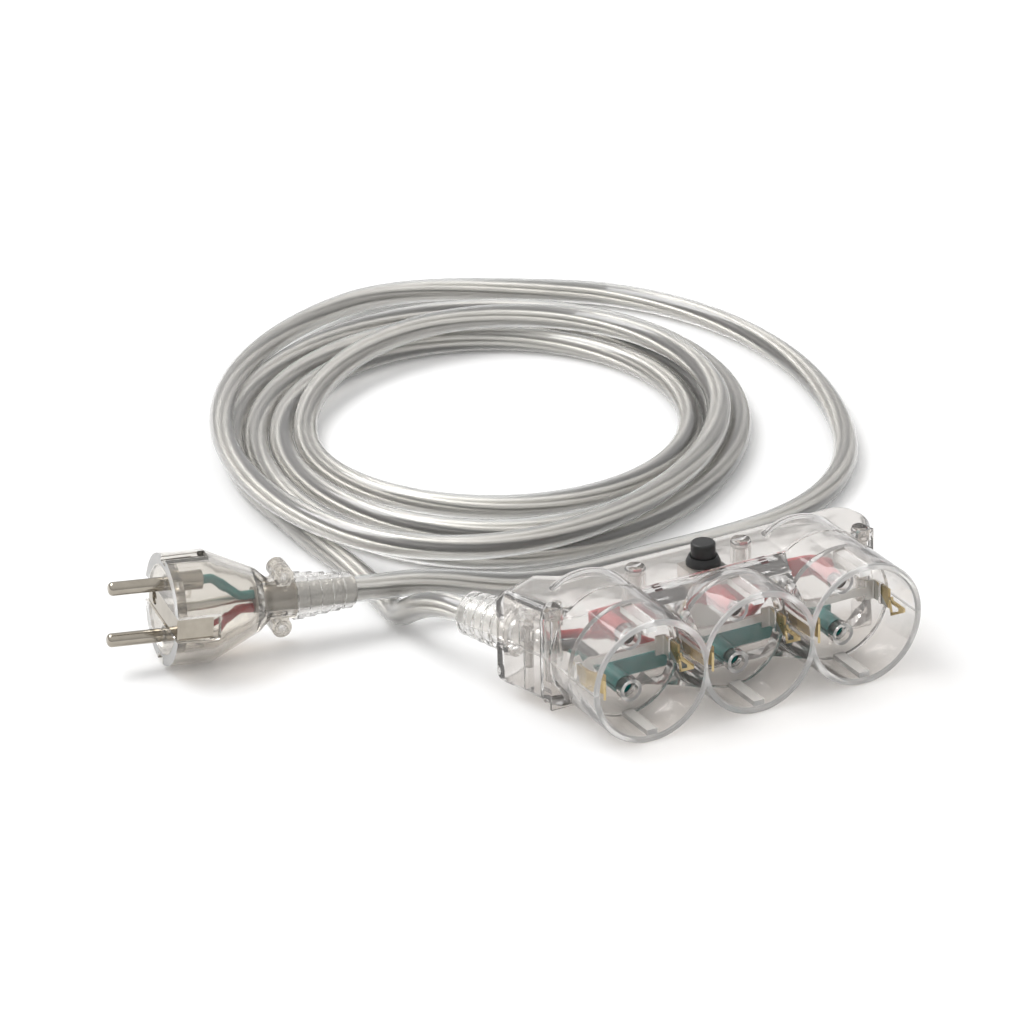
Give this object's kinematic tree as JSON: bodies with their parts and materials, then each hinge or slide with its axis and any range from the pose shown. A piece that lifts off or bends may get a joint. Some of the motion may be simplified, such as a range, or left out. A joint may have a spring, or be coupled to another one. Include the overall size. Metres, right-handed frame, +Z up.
{
  "type": "extension lead",
  "caption": "Clear plastic extension lead: socket block with round two-pin side-earth wells and a push-to-reset cut-out, a round plug and a coiled clear cord.",
  "frame": {"origin": "middle of the block's footprint on the floor", "axes": "+X along the socket row away from the cord's exit, -Y the way the sockets face, +Z up, the button's side"},
  "size_m": [0.3332, 0.3645, 0.0475],
  "materials": {
    "clear_shell": "clear moulded plastic, glossy",
    "clear_floor": "clear moulded plastic, glossy",
    "clear_boot": "clear flexible plastic, glossy",
    "cord_sheath": "clear flexible sheath over tinned cores, glossy",
    "brass": "stamped brass, satin",
    "nickel": "nickel plate, polished",
    "steel_screw": "zinc plate",
    "black_plastic": "black moulded plastic, satin",
    "red_sleeve": "red insulation",
    "black_sleeve": "black insulation",
    "green_sleeve": "blue-green insulation"
  },
  "bodies": {
    "lead": {"block_boot": "clear_boot", "block_cord_end": "cord_sheath", "cord_block_lead": "cord_sheath", "cord_coil": "cord_sheath", "cord_grip": "clear_floor", "cord_grip_screws": "steel_screw", "cord_plug_lead": "cord_sheath", "cut_out_blades": "brass", "cut_out_case": "black_plastic", "cut_out_nut": "black_plastic", "earth_clip_left": "brass", "earth_clip_middle": "brass", "earth_clip_right": "brass", "earth_rail": "brass", "housing_base": "clear_shell", "housing_screws": "steel_screw", "housing_top": "clear_shell", "line_rail": "red_sleeve", "neutral_rail": "green_sleeve", "plug_boot": "clear_boot", "plug_cord_end": "cord_sheath", "plug_earth_strap": "nickel", "plug_face": "clear_shell", "plug_pin_line": "nickel", "plug_pin_neutral": "nickel", "plug_screws": "steel_screw", "plug_shell_far": "clear_shell", "plug_shell_near": "clear_shell", "plug_wire_earth": "black_sleeve", "plug_wire_line": "red_sleeve", "plug_wire_neutral": "green_sleeve", "socket_floor_left": "clear_floor", "socket_floor_middle": "clear_floor", "socket_floor_right": "clear_floor", "wire_earth": "black_sleeve", "wire_line_in": "red_sleeve", "wire_line_out": "red_sleeve", "wire_neutral": "green_sleeve"},
    "button": {"reset_button": "black_plastic"}
  },
  "joints": [
    {"name": "reset_press", "type": "slide", "parent": "lead", "child": "button", "axis": [0, 0, -1], "range_m": [0, 0.002], "stiffness_N_per_m": 800}
  ]
}
